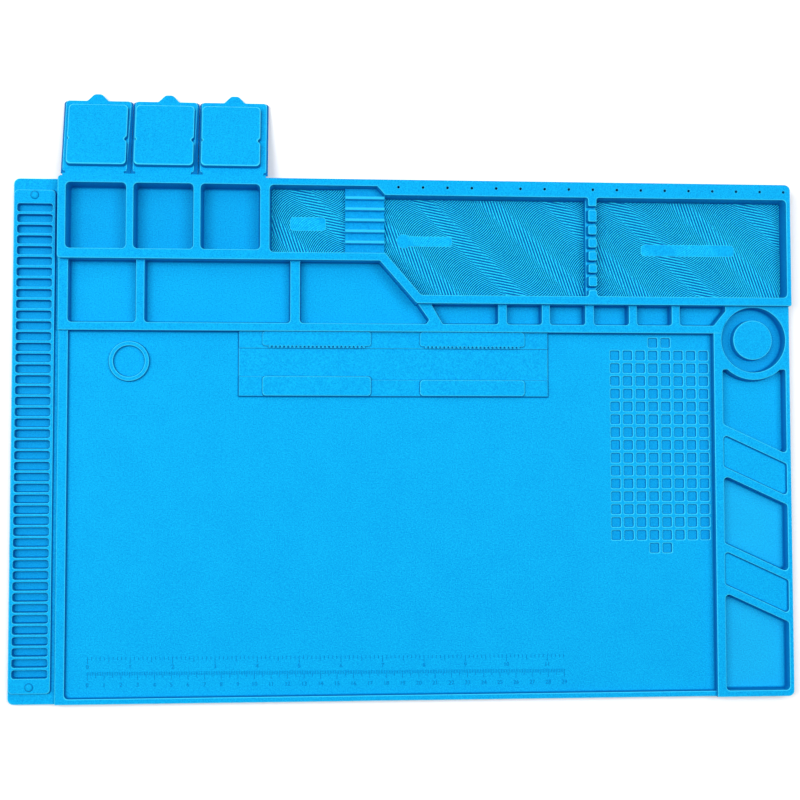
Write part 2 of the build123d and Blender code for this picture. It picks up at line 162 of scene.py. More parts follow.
def moved_corner(before, corner, after, inset_in, inset_out):
    """Where two edges meet after each has moved to its left by its own inset."""
    d0, d1 = (corner - before).normalized(), (after - corner).normalized()
    n0, n1 = Vector((-d0.y, d0.x)), Vector((-d1.y, d1.x))
    cross = d0.x * d1.y - d0.y * d1.x
    if abs(cross) < 1e-4:
        return corner + n0 * inset_in
    shift = Vector((inset_in * n1.y - inset_out * n0.y, n0.x * inset_out - n1.x * inset_in))
    return corner + shift / cross


def arc_at(before, corner, after, radius, steps):
    """The points of a rounded corner."""
    d0, d1 = (corner - before), (after - corner)
    room = 0.48 * min(d0.length, d1.length)
    d0, d1 = d0.normalized(), d1.normalized()
    turn = math.atan2(d0.x * d1.y - d0.y * d1.x, d0.dot(d1))
    tangent = math.tan(abs(turn) / 2)
    reach = min(radius * tangent, room)
    if reach < 1e-5:
        return [corner.copy() for _ in range(steps + 1)]
    side = 1 if turn > 0 else -1
    start = corner - d0 * reach
    centre = start + side * Vector((-d0.y, d0.x)) * (reach / tangent)
    spoke = start - centre
    return [centre + Matrix.Rotation(turn * k / steps, 2) @ spoke for k in range(steps + 1)]


def rounded(corners, inset=0.0, radius=0.0, steps=5):
    """A closed anticlockwise outline moved inwards and rounded.

    inset is one number, or one per edge (edge i starts at corner i). radius is one number or one per corner;
    a corner whose radius is None stays one point.
    """
    count = len(corners)
    insets = inset if isinstance(inset, list) else [inset] * count
    radii = radius if isinstance(radius, list) else [radius] * count
    flat = [Vector(c) for c in corners]
    moved = [
        moved_corner(flat[i - 1], flat[i], flat[(i + 1) % count], insets[i - 1], insets[i])
        for i in range(count)
    ]
    points = []
    for i in range(count):
        if radii[i] is None:
            points.append(moved[i])
        else:
            points += arc_at(moved[i - 1], moved[i], moved[(i + 1) % count], radii[i], steps)
    return [(p.x, p.y) for p in points]


def holds(outline, spot):
    """Whether a spot lies inside a closed outline."""
    inside = False
    for (x0, y0, *_), (x1, y1, *_) in zip(outline, outline[1:] + outline[:1]):
        if (y0 > spot.y) != (y1 > spot.y) and spot.x < x0 + (spot.y - y0) * (x1 - x0) / (y1 - y0):
            inside = not inside
    return inside


def quarter(steps):
    """(sine, cosine) pairs from 0 to 90 degrees."""
    return [(math.sin(math.pi / 2 * k / steps), math.cos(math.pi / 2 * k / steps)) for k in range(steps + 1)]


# ---------------------------------------------------------------- mesh building

class Skin:
    """The points and faces of one piece."""

    def __init__(self):
        self.points = []
        self.faces = []
        self.tones = {}

    def loop(self, points, height, tone=0.0):
        """Adds a closed row of points with one painted tone."""
        start = len(self.points)
        self.points += [(x, y, height) for x, y in points]
        self.tones.update({i: tone for i in range(start, len(self.points)) if tone})
        return list(range(start, len(self.points)))

    def band(self, upper, lower, outwards, closed=True):
        """Quads between two loops of equal length, facing out of or into an anticlockwise outline."""
        count = len(upper)
        for i in range(count if closed else count - 1):
            j = (i + 1) % count
            quad = (upper[i], lower[i], lower[j], upper[j])
            self.faces.append(quad if outwards else quad[::-1])

    def level(self, outer, holes=()):
        """Fills a flat region that faces up with even triangles."""
        order, ring_of, edges = [], [], []
        for number, ring in enumerate([outer, *holes]):
            start = len(order)
            edges += [(start + k, start + (k + 1) % len(ring)) for k in range(len(ring))]
            order += ring
            ring_of += [number] * len(ring)
        spots = [Vector(self.points[i][:2]) for i in order]
        places, _, faces, sources, _, _ = delaunay_2d_cdt(spots, edges, [], 1, 1e-5)
        outlines = [[self.points[i] for i in hole] for hole in holes]
        for place, source in zip(places, sources):
            if not source:
                source.append(len(order))
                order += self.loop([place], self.points[outer[0]][2])
                ring_of.append(0)
                spots.append(place)
        for face in faces:
            corners = [sources[k][0] for k in face]
            owners = {ring_of[k] for k in corners}
            number = owners.pop()
            if not owners and number > 0:
                middle = sum((spots[k] for k in corners), Vector((0, 0))) / 3
                if holds(outlines[number - 1], middle):
                    continue
            a, b, c = (spots[k] for k in corners)
            indices = [order[k] for k in corners]
            self.faces.append(indices if (b - a).cross(c - a) > 0 else indices[::-1])

    def under(self, ring):
        """Closes the underside of a ring."""
        before = len(self.faces)
        self.level(ring)
        self.faces[before:] = [face[::-1] for face in self.faces[before:]]

    def piece(self, name, material, body="mat", nodes=(), turn=None, sharp=50):
        mesh = bpy.data.meshes.new(name)
        mesh.from_pydata([Vector(p) * MM for p in self.points], [], self.faces)
        if turn:
            mesh.transform(turn)
        mesh.update()
        mesh.shade_smooth()
        mesh.set_sharp_from_angle(angle=math.radians(sharp))
        mesh.materials.append(material)
        # The tone attribute carries painted highlights, painted shade and the ruler marks' deeper blue
        tone = mesh.attributes.new("tone", "FLOAT", "POINT")
        tone.data.foreach_set("value", [self.tones.get(i, 0.0) for i in range(len(self.points))])
        obj = bpy.data.objects.new(name, mesh)
        bpy.context.scene.collection.objects.link(obj)
        weighted = obj.modifiers.new("weighted", "WEIGHTED_NORMAL")
        weighted.keep_sharp = True
        if nodes:
            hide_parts(*nodes)
        if body:
            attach(obj, body)
        return obj


def pocket(skin, corners, top, floor, radius=2.0, lip=0.5, cove=1.1, flush=(), slope=SLOPE, filled=True,
           floor_tone=0.0):
    """A drafted hollow with a rounded rim and a coved foot.

    Edges in flush run straight down from a wall above.
    """
    count = len(corners)
    radii = radius if isinstance(radius, list) else [radius] * count
    tall = top - floor - cove
    foot = slope * tall
    rows = [(top - lip * (1 - c), -lip * (1 - s), SEAM) for s, c in quarter(3)]
    rows += [(floor + cove * (1 - s), foot + cove * (1 - c), SEAM + cove * (1 - c)) for s, c in quarter(4)]
    # POCKET_TONES paint a highlight on the rounded rim and shade down the wall and at the foot; floor_tone
    # paints shade (below 0) or light (above 0) on the floor
    tones = (*POCKET_TONES, floor_tone)
    loops = []
    for row, (height, inset, flush_inset) in enumerate(rows):
        insets = [flush_inset if i in flush else inset for i in range(count)]
        left = [None if r is None else max(r - 0.6 * inset, 0.35 * r) for r in radii]
        loops.append(skin.loop(rounded(corners, insets, left), height, tones[row]))
    for upper, lower in zip(loops, loops[1:]):
        skin.band(upper, lower, outwards=False)
    if filled:
        skin.level(loops[-1])
    return loops[0]


def raised(skin, corners, top, foot, base=None, kinds=None, radius=None, lip=0.5, cove=0.9, slope=0.0,
           holes=()):
    """A raised zone: flat land with a rounded rim, walls down to foot, and optionally on down to base.

    kinds has one letter per edge: w for a wall with a coved foot, o for an outer wall, s for a seam with a
    neighbour at the same height, u for an edge that runs on under a higher neighbour.
    """
    count = len(corners)
    kinds = kinds or "w" * count
    radii = radius if isinstance(radius, list) else [radius] * count
    tall = top - foot - cove
    rows = [(top - lip * (1 - c), lip * (1 - s), 0.0) for s, c in quarter(3)]
    rows += [(foot + cove * (1 - s), -slope * tall, -cove * (1 - c)) for s, c in quarter(3)]
    if base is not None:
        rows.append((base, -slope * tall, -cove))
    loops = []
    # Rows take RAISED_TONES: a painted highlight on the rounded rim, painted shade on the walls and at the
    # foot
    for row, (height, inset, spread) in enumerate(rows):
        by_kind = {"w": inset + spread, "o": max(inset, 0.0), "s": 0.0, "u": -1.0}
        insets = [by_kind[kind] for kind in kinds]
        loops.append(skin.loop(rounded(corners, insets, radii), height, RAISED_TONES[row]))
    skin.level(loops[0], [pocket(skin, **hole) for hole in holes])
    for upper, lower in zip(loops, loops[1:]):
        skin.band(upper, lower, outwards=True)
    return loops[-1]


def lathe(skin, centre, profile, count=72, tones=()):
    """Turns (radius, height) rows, listed from the inside out over the top, about a vertical axis.

    tones pairs rows with their painted tones.
    """
    loops = [skin.loop(circle(centre, radius, count), height) for radius, height in profile]
    for inner, outer in zip(loops, loops[1:]):
        skin.band(inner, outer, outwards=True)
    for row, tone in tones:
        skin.tones.update({i: tone for i in loops[row]})
    return loops


# ---------------------------------------------------------------- materials

def colour_mix(nodes, links, factor, low, high):
    ramp = nodes.new("ShaderNodeValToRGB")
    ramp.color_ramp.elements[0].position, ramp.color_ramp.elements[1].position = 0.3, 0.7
    ramp.color_ramp.elements[0].color, ramp.color_ramp.elements[1].color = (*low, 1), (*high, 1)
    links.new(factor, ramp.inputs["Fac"])
    return ramp.outputs["Color"]


def noise(nodes, links, place, scale, detail, rough=0.6):
    node = nodes.new("ShaderNodeTexNoise")
    node.inputs["Scale"].default_value = scale
    node.inputs["Detail"].default_value = detail
    node.inputs["Roughness"].default_value = rough
    links.new(place, node.inputs["Vector"])
    return node.outputs["Fac"]


def silicone_material(name="silicone", grooves=False):
    """Azure moulded silicone: a fine spark-eroded grain, faint cloudy mottling and a soft satin surface.

    The mesh attribute "tone" blends the colour towards a lighter blue, a painted highlight, or towards a much
    deeper blue, painted shade. With grooves, the colour is painted by height: painted shade deepens the
    bottom of the ripple pattern, where little light gets in, and a painted highlight lightens its crests.
    """
    material = bpy.data.materials.new(name)
    material.use_nodes = True
    nodes, links = material.node_tree.nodes, material.node_tree.links
    shader = nodes["Principled BSDF"]
    place = nodes.new("ShaderNodeTexCoord").outputs["Object"]
    cloud = noise(nodes, links, place, 45.0, 3.0)
    grain = noise(nodes, links, place, 1100.0, 2.0)
    mottle = noise(nodes, links, place, 1300.0, 2.0, 0.6)

    blend = nodes.new("ShaderNodeMix")
    blend.inputs["Factor"].default_value = 0.1
    links.new(mottle, blend.inputs["A"])
    links.new(cloud, blend.inputs["B"])
    colour = colour_mix(nodes, links, blend.outputs["Result"], (0.001, 0.26, 0.66), (0.005, 0.46, 0.84))
    tone = nodes.new("ShaderNodeAttribute")
    tone.attribute_name = "tone"
    # A positive tone mixes in a painted highlight blue, a negative tone a painted shade blue
    for sign, shade in ((1.0, (0.07, 0.78, 1.0, 1)), (-0.8, (0.0008, 0.10, 0.38, 1))):
        share = nodes.new("ShaderNodeMath")
        share.operation = "MULTIPLY"
        share.inputs[1].default_value = sign
        links.new(tone.outputs["Fac"], share.inputs[0])
        turned = nodes.new("ShaderNodeMix")
        turned.data_type = "RGBA"
        turned.inputs["B"].default_value = shade
        links.new(share.outputs[0], turned.inputs["Factor"])
        links.new(colour, turned.inputs["A"])
        colour = turned.outputs["Result"]
    if grooves:
        height = nodes.new("ShaderNodeSeparateXYZ")
        links.new(place, height.inputs[0])
        share = nodes.new("ShaderNodeMapRange")
        share.inputs["From Min"].default_value = RIDGE_LOW * MM
        share.inputs["From Max"].default_value = RIDGE_HIGH * MM
        links.new(height.outputs["Z"], share.inputs["Value"])
        # Painted shade in the ripple troughs and a painted highlight on the crests, set by height
        ripple_shade_and_highlight = colour_mix(nodes, links, share.outputs["Result"], (0.5, 0.31, 0.52), (6.0, 1.75, 1.2))
        ripple_shading = nodes.new("ShaderNodeMix")
        ripple_shading.data_type, ripple_shading.blend_type = "RGBA", "MULTIPLY"
        ripple_shading.inputs["Factor"].default_value = 1.0
        links.new(colour, ripple_shading.inputs["A"])
        links.new(ripple_shade_and_highlight, ripple_shading.inputs["B"])
        colour = ripple_shading.outputs["Result"]
    links.new(colour, shader.inputs["Base Color"])

    first = nodes.new("ShaderNodeBump")
    first.inputs["Strength"].default_value = 0.5
    first.inputs["Distance"].default_value = 0.00012
    links.new(grain, first.inputs["Height"])
    second = nodes.new("ShaderNodeBump")
    second.inputs["Strength"].default_value = 0.6
    second.inputs["Distance"].default_value = 0.0003
    links.new(mottle, second.inputs["Height"])
    links.new(first.outputs["Normal"], second.inputs["Normal"])
    links.new(second.outputs["Normal"], shader.inputs["Normal"])

    satin = nodes.new("ShaderNodeMapRange")
    satin.inputs["To Min"].default_value = 0.34
    satin.inputs["To Max"].default_value = 0.46
    links.new(grain, satin.inputs["Value"])
    links.new(satin.outputs["Result"], shader.inputs["Roughness"])
    shader.inputs["Specular IOR Level"].default_value = 0.2
    shader.inputs["Specular Tint"].default_value = (0.06, 0.65, 1.0, 1)
    return material


def magnet_material():
    """Dark flexible magnet sheet with a faint rolled texture."""
    material = bpy.data.materials.new("magnetic_sheet")
    material.use_nodes = True
    nodes, links = material.node_tree.nodes, material.node_tree.links
    shader = nodes["Principled BSDF"]
    place = nodes.new("ShaderNodeTexCoord").outputs["Object"]
    speck = noise(nodes, links, place, 1500.0, 3.0)
    links.new(
        colour_mix(nodes, links, speck, (0.045, 0.040, 0.036), (0.075, 0.070, 0.064)),
        shader.inputs["Base Color"],
    )
    bump = nodes.new("ShaderNodeBump")
    bump.inputs["Strength"].default_value = 0.3
    bump.inputs["Distance"].default_value = 0.0001
    links.new(speck, bump.inputs["Height"])
    links.new(bump.outputs["Normal"], shader.inputs["Normal"])
    shader.inputs["Roughness"].default_value = 0.8
    return material


def floor_material():
    material = bpy.data.materials.new("pale_floor")
    material.use_nodes = True
    nodes, links = material.node_tree.nodes, material.node_tree.links
    place = nodes.new("ShaderNodeTexCoord").outputs["Object"]
    cloud = noise(nodes, links, place, 2.0, 2.0)
    links.new(
        colour_mix(nodes, links, cloud, (0.97, 0.97, 0.97), (0.99, 0.99, 0.99)),
        nodes["Principled BSDF"].inputs["Base Color"],
    )
    nodes["Principled BSDF"].inputs["Roughness"].default_value = 0.9
    nodes["Principled BSDF"].inputs["Specular IOR Level"].default_value = 0.1
    return material


# ---------------------------------------------------------------- the mat's zones

def base_sheet(blue):
    skin = Skin()
    corners = box_corners(-HALF_X, HALF_X, -HALF_Y, HALF_Y)
    rows = [(BASE, 0.0), (0.5, 0.0)] + [(0.5 * (1 - s), 0.5 * (1 - c)) for s, c in quarter(3)][1:]
    loops = [skin.loop(rounded(corners, inset, CORNER), height) for height, inset in rows]
    for upper, lower in zip(loops, loops[1:]):
        skin.band(upper, lower, outwards=True)
    skin.level(loops[0])
    skin.under(loops[-1])
    skin.piece("base_sheet", blue, nodes=["base_sheet"])


def edge_strip(blue):
    skin = Skin()
    corners = box_corners(-HALF_X, WALL_LEFT, -HALF_Y, HALF_Y)
    inner = box_corners(STRIP_X[0] + 0.5, STRIP_X[1] - 0.5, STRIP_Y[0] + 0.5, STRIP_Y[1] - 0.5)
    under_panel = dict(corners=inner, top=BED, floor=TRAY_FLOOR, radius=2.0, lip=0.1, cove=0.1)
    raised(skin, corners, BED, BASE, kinds="osoo", radius=[CORNER, None, None, CORNER], lip=0.6, cove=0,
           holes=[under_panel])
    skin.piece("strip_bed", blue, nodes=["strip_bed"])

    skin = Skin()
    slots = []
    for row in range(SLOT_COUNT):
        middle = (row - (SLOT_COUNT - 1) / 2) * SLOT_PITCH
        low, high = middle - SLOT_WIDTH / 2, middle + SLOT_WIDTH / 2
        # Slot floors carry painted shade
        slots.append(dict(corners=box_corners(*SLOT_X, low, high), top=LOW, floor=BASE + 0.03, radius=1.5,
                          lip=0.35, cove=0.5, floor_tone=CELL_FLOOR_SHADE))
    panel = box_corners(*STRIP_X, *STRIP_Y)
    raised(skin, panel, LOW, BED, radius=2.5, lip=0.45, cove=0.4, slope=SLOPE, holes=slots)
    skin.piece("slot_strip", blue, nodes=["slot_strip", "slot_bars"])

    skin = Skin()
    middle = sum(STRIP_X) / 2
    for y in (-STUD_Y, STUD_Y):
        dome = [(0.02, LOW + STUD_HEIGHT)]
        dome += [(STUD_RADIUS * s, LOW + STUD_HEIGHT * (0.15 + 0.85 * c)) for s, c in quarter(5)][1:]
        dome += [(STUD_RADIUS + 0.3, LOW)]
        # Painted shade deepens the lower side and the foot of each stud
        loops = lathe(skin, (middle, y), dome, 28, tones=[(3, -0.3), (4, -0.8), (5, -1.0), (6, -0.5)])
        skin.level(loops[0])
    skin.piece("strip_studs", blue, nodes=["strip_studs"])


def box_row(blue):
    skin = Skin()
    corners = box_corners(WALL_LEFT, BOX_ROW_RIGHT, BLOCK_FRONT, HALF_Y)
    boxes = [
        # Box floors carry painted shade
        dict(corners=box_corners(left, left + BOX_WIDTH, *BOX_Y), top=TOP, floor=TRAY_FLOOR, radius=2.6,
             floor_tone=BOX_FLOOR_SHADE)
        for left in BOX_LEFTS
    ]
    raised(skin, corners, TOP, BASE, kinds="osso", radius=[1.8, None, None, 1.8], lip=0.6, cove=0,
           holes=boxes)
    skin.piece("box_row", blue, nodes=["box_row"])


def field_outline():
    """The ridged trays' shared hollow, with the divider's two end teeth as spurs of the frame."""
    left, right = TOOTH_X
    front, rear = NOTCH_Y[0] - NOTCH_WIDTH / 2, NOTCH_Y[-1] + NOTCH_WIDTH / 2
    points = [
        (SMALL_LEFT, SMALL_FRONT), (REST_RIGHT, SMALL_FRONT), (DIAGONAL_FOOT, TRAY_FRONT),
        (left, TRAY_FRONT), (left, front), (right, front), (right, TRAY_FRONT),
        (TRAY_RIGHT, TRAY_FRONT), (TRAY_RIGHT, TRAY_REAR),
        (right, TRAY_REAR), (right, rear), (left, rear), (left, TRAY_REAR),
        (REST_RIGHT, TRAY_REAR), (REST_RIGHT - REST_CHAMFER, SMALL_REAR), (SMALL_LEFT, SMALL_REAR),
    ]
    radii = [2.6, 1.0, 3.0, 2.0, 0.9, 0.9, 2.0, 2.6, 2.6, 1.6, 0.9, 0.9, 1.6, 0.8, 0.8, 2.6]
    return points, radii


def tray_frame(blue):
    skin = Skin()
    corners = [
        (BOX_ROW_RIGHT, BLOCK_FRONT), (BLOCK_BEND, BLOCK_FRONT), (BLOCK_FOOT, BLOCK_STEP),
        (HALF_X, BLOCK_STEP), (HALF_X, HALF_Y), (BOX_ROW_RIGHT, HALF_Y),
    ]
    field, radii = field_outline()
    holes = [dict(corners=field, top=TOP, floor=RIDGE_LOW, radius=radii, lip=0.5, cove=1.2, filled=False)]
    for index in range(HOLE_COUNT):
        pin = circle((HOLE_X0 + index * HOLE_PITCH, HOLE_Y), HOLE_RADIUS, 14)
        holes.append(dict(corners=pin, top=TOP, floor=TOP - HOLE_DEPTH, radius=None, lip=0.2, cove=0.1,
                          slope=0.0))
    raised(skin, corners, TOP, BASE, kinds="ooooss", radius=[None, 1.5, 2.5, 0.8, CORNER, None], cove=0,
           holes=holes)
    skin.piece("tray_frame", blue, nodes=["pin_rail", "tray_end_wall", "tray_front_wall"])


def middle_rows(blue):
    skin = Skin()
    corners = [
        (WALL_LEFT, WORK_REAR), *MIDDLE_SEAM, (BLOCK_FOOT, BLOCK_STEP), (BLOCK_BEND, BLOCK_FRONT),
        (WALL_LEFT, BLOCK_FRONT),
    ]
    floor = TRAY_FLOOR
    trays = [
        dict(corners=box_corners(x0, x1, MIDDLE_FRONT, BLOCK_FRONT), top=MID, floor=floor,
             radius=[2.2, 2.2, 0.6, 0.6], flush=(2,))
        for x0, x1 in MIDDLE_TRAYS
    ]
    slanting = [
        (SLANTING_X[0], MIDDLE_FRONT), (SLANTING_X[1], MIDDLE_FRONT), SLANTING_FOOT,
        (BLOCK_FOOT + 1.2, BLOCK_STEP), (BLOCK_FOOT, BLOCK_STEP), (BLOCK_BEND, BLOCK_FRONT),
        (SLANTING_X[0], BLOCK_FRONT),
    ]
    trays.append(dict(corners=slanting, top=MID, floor=floor, radius=[2.2, 1.2, 1.2, None, None, 0.6, 0.6],
                      flush=(3, 4, 5), cove=0.6))
    raised(skin, corners, MID, FLOOR, base=BASE, kinds="wssuuuo", holes=trays)
    skin.piece("middle_tray_row", blue, nodes=["middle_tray_row"])

    skin = Skin()
    corners = [*COLUMN_SEAM, *reversed(MIDDLE_SEAM)]
    trays = [
        dict(corners=box_corners(x0, x1, MIDDLE_FRONT, BLOCK_STEP), top=MID, floor=floor,
             radius=[1.8, 1.8, 0.5, 0.5], flush=(2,), cove=1.2)
        for x0, x1 in SMALL_TRAYS
    ]
    first = [
        (FIRST_SMALL_FRONT[0], MIDDLE_FRONT), (FIRST_SMALL_FRONT[1], MIDDLE_FRONT),
        (FIRST_SMALL_REAR[1], BLOCK_STEP), (FIRST_SMALL_REAR[0], BLOCK_STEP),
    ]
    trays.append(dict(corners=first, top=MID, floor=floor, radius=[1.2, 1.8, 0.5, 0.3], flush=(2,), cove=1.2))
    last = [
        (LAST_SMALL_FRONT[0], MIDDLE_FRONT), (LAST_SMALL_FRONT[1], MIDDLE_FRONT),
        (LAST_SMALL_REAR[1], LAST_SMALL_STEP), (LAST_SMALL_REAR[1], BLOCK_STEP),
        (LAST_SMALL_REAR[0], BLOCK_STEP),
    ]
    trays.append(dict(corners=last, top=MID, floor=floor, radius=[1.8, 1.4, 0.8, 0.3, 0.5], flush=(3,),
                      cove=1.2))
    raised(skin, corners, MID, FLOOR, base=BASE, kinds="sussw", holes=trays)
    skin.piece("small_tray_row", blue, nodes=["small_tray_row"])


def slanted(rear, front):
    """A bin whose front and rear walls slope down to the right."""
    drop = BIN_SLOPE * (BIN_X[1] - BIN_X[0])
    low = (BIN_FRONT, BIN_FRONT) if front is None else (front, front + drop)
    return [(BIN_X[0], low[0]), (BIN_X[1], low[1]), (BIN_X[1], rear + drop), (BIN_X[0], rear)]


def first_bin():
    """The bin in front of the well, with its rear wall curved round the well."""
    reach = math.sqrt(WELL_WALL ** 2 - (WELL[1] - BIN_REAR) ** 2)
    half = math.atan2(reach, WELL[1] - BIN_REAR)
    arc = []
    for step in range(13):
        turn = half * (1 - step / 6)
        arc.append((WELL[0] + WELL_WALL * math.sin(turn), WELL[1] - WELL_WALL * math.cos(turn)))
    front = slanted(0, FIRST_BIN_FRONT)[:2]
    points = [*front, (BIN_X[1], BIN_REAR), *arc, (BIN_X[0], BIN_REAR)]
    radii = [2.4, 2.0, 1.2] + [0.8] + [None] * 11 + [0.8] + [1.2]
    return points, radii


def bin_column(blue):
    skin = Skin()
    corners = [
        (WORK_RIGHT, -HALF_Y), (HALF_X, -HALF_Y), (HALF_X, BLOCK_STEP), *reversed(COLUMN_SEAM),
        (WORK_RIGHT, WORK_REAR),
    ]
    floor = TRAY_FLOOR
    points, radii = first_bin()
    holes = [
        # The well's floor carries painted shade
        dict(corners=circle(WELL, WELL_RADIUS), top=MID, floor=floor, radius=None, floor_tone=WELL_FLOOR_SHADE),
        dict(corners=points, top=MID, floor=floor, radius=radii, cove=0.6),
    ]
    # The deep bins' floors carry painted light
    holes += [dict(corners=slanted(*ends), top=MID, floor=floor, radius=2.4, floor_tone=DEEP_BIN_FLOOR_LIGHT)
              for ends in DEEP_BINS]
    holes += [dict(corners=slanted(*ends), top=MID, floor=SHALLOW_FLOOR, radius=2.0, cove=0.9)
              for ends in SHALLOW_BINS]
    raised(skin, corners, MID, FLOOR, base=BASE, kinds="ooussw",
           radius=[None, CORNER, None, None, None, None], holes=holes)
    skin.piece("bin_column", blue, nodes=["bin_column"])

    skin = Skin()
    profile = [(0.02, DISC_TOP), (DISC_RADIUS * 0.5, DISC_TOP)]
    profile += [(DISC_RADIUS - 0.5 * (1 - s), DISC_TOP - 0.5 * (1 - c)) for s, c in quarter(3)]
    profile += [(DISC_RADIUS + 1.2 * (1 - c), BASE + 1.2 * (1 - s)) for s, c in quarter(4)]
    # A painted highlight on the disc's rounded rim, painted shade low on its side and in the cove at its foot
    loops = lathe(skin, WELL, profile, tones=[(3, 0.8), (4, 1.0)] + [(row, -0.7) for row in (6, 7, 8)])
    skin.level(loops[0])
    skin.piece("well_disc", blue, nodes=["well_disc"])


def low_border(blue):
    skin = Skin()
    corners = [
        (WALL_LEFT, -HALF_Y), (WORK_RIGHT, -HALF_Y), (WORK_RIGHT, WORK_FRONT), (WORK_LEFT, WORK_FRONT),
        (WORK_LEFT, WORK_REAR), (WALL_LEFT, WORK_REAR),
    ]
    raised(skin, corners, LOW, FLOOR, base=BASE, kinds="oswwso", radius=[None, None, None, 2.5, None, None])
    skin.piece("low_border", blue, nodes=["left_wall", "front_border"])


def grid_cells():
    middle = (GRID_COLUMNS // 2 - 1, GRID_COLUMNS // 2)
    for row in range(-1, GRID_ROWS + 1):
        columns = range(GRID_COLUMNS) if 0 <= row < GRID_ROWS else middle
        for column in columns:
            yield GRID_X0 + column * GRID_STEP_X, GRID_Y0 + row * GRID_STEP_Y


def work_area(blue):
    skin = Skin()
    corners = [
        (WORK_LEFT, WORK_FRONT), (WORK_RIGHT, WORK_FRONT), (WORK_RIGHT, GRID_FRONT), (GRID_LEFT, GRID_FRONT),
        (GRID_LEFT, WORK_REAR), (WORK_LEFT, WORK_REAR),
    ]
    raised(skin, corners, FLOOR, BASE, kinds="uussuu", cove=0)
    skin.piece("work_floor", blue, nodes=["work_floor"])

    skin = Skin()
    half = CELL / 2
    # Cell floors carry painted shade
    cells = [
        dict(corners=box_corners(x - half, x + half, y - half, y + half), top=FLOOR, floor=TRAY_FLOOR,
             radius=0.9, lip=0.6, cove=0.35, slope=0.02, floor_tone=CELL_FLOOR_SHADE)
        for x, y in grid_cells()
    ]
    field = box_corners(GRID_LEFT, WORK_RIGHT, GRID_FRONT, WORK_REAR)
    raised(skin, field, FLOOR, BASE, kinds="suus", cove=0, holes=cells)
    skin.piece("screw_grid", blue, nodes=["screw_grid"])


def locating_ring(blue):
    skin = Skin()
    lip, cove = 0.5, 0.7
    profile = [(RING_INNER - cove * (1 - c), FLOOR + cove * (1 - s)) for s, c in quarter(3)][::-1]
    profile += [(RING_INNER + lip * (1 - s), RING_TOP - lip * (1 - c)) for s, c in quarter(3)][::-1]
    profile += [(RING_OUTER - lip * (1 - s), RING_TOP - lip * (1 - c)) for s, c in quarter(3)]
    profile += [(RING_OUTER + cove * (1 - c), FLOOR + cove * (1 - s)) for s, c in quarter(3)]
    # A painted highlight on the ring's two rounded rims, painted shade in the coves at its feet
    lathe(skin, RING, profile, 64, tones=[(row, 0.8) for row in (5, 6, 9, 10)]
          + [(row, -0.7) for row in (1, 2, 3, 12, 13, 14)])
    skin.piece("locating_ring", blue, nodes=["locating_ring"])


def slab(name, blue, corners, low, high, node, radius=0.6, lip=0.3, cove=0.35):
    skin = Skin()
    raised(skin, corners, high, low, radius=radius, lip=lip, cove=cove, slope=SLOPE)
    skin.piece(name, blue, nodes=[node])


def toothed_outline(left, right):
    """A rear jaw with a row of small teeth along its front edge."""
    points = [(left, REAR_RAIL_Y + TOOTH_DEPTH)]
    middle = (left + right) / 2
    for index in range(TOOTH_COUNT):
        x = middle + (index - (TOOTH_COUNT - 1) / 2) * TOOTH_PITCH
        half = (TOOTH_PITCH - TOOTH_GAP) / 2
        points += [(x - half, REAR_RAIL_Y + TOOTH_DEPTH), (x - half, REAR_RAIL_Y)]
        points += [(x + half, REAR_RAIL_Y), (x + half, REAR_RAIL_Y + TOOTH_DEPTH)]
    points += [(right, REAR_RAIL_Y + TOOTH_DEPTH), (right, PLATE[3]), (left, PLATE[3])]
    radii = [JAW_RADIUS] + [0.15, 0.3, 0.3, 0.15] * TOOTH_COUNT + [JAW_RADIUS] * 3
    return points, radii


def board_clamp(blue):
    left, right, front, rear = PLATE
    slab("board_plate", blue, box_corners(left, right, front, rear), FLOOR, PLATE_TOP, "board_plate",
         0.6, 0.35, 0.8)
    slab("rear_rail", blue, box_corners(left + 0.2, right - 0.2, REAR_RAIL_Y, rear), PLATE_TOP, RAIL_TOP,
         "rear_rail", 0.3, 0.2, 0.25)
    high, low = FRONT_RAIL_Y
    stepped = [
        (left + 0.2, front + 0.2), (right - 0.2, front + 0.2), (right - 0.2, low), (RAIL_SPLIT, low),
        (RAIL_SPLIT, high), (left + 0.2, high),
    ]
    slab("front_rail", blue, stepped, PLATE_TOP, RAIL_TOP, "front_rail", 0.3, 0.2, 0.25)
    for side, (x0, x1), edge in zip(("left", "right"), JAW_X, FRONT_RAIL_Y):
        points, radii = toothed_outline(x0, x1)
        skin = Skin()
        raised(skin, points, JAW_TOP, RAIL_TOP, radius=radii, lip=0.25, cove=0.1)
        skin.piece(f"rear_jaw_{side}", blue, nodes=[f"rear_jaw_{side}"])
        slab(f"front_jaw_{side}", blue, box_corners(x0, x1, front + 0.25, edge), RAIL_TOP, JAW_TOP,
             f"front_jaw_{side}", JAW_RADIUS, 0.45, 0.3)


# ---------------------------------------------------------------- tool rest, divider and ridged floors

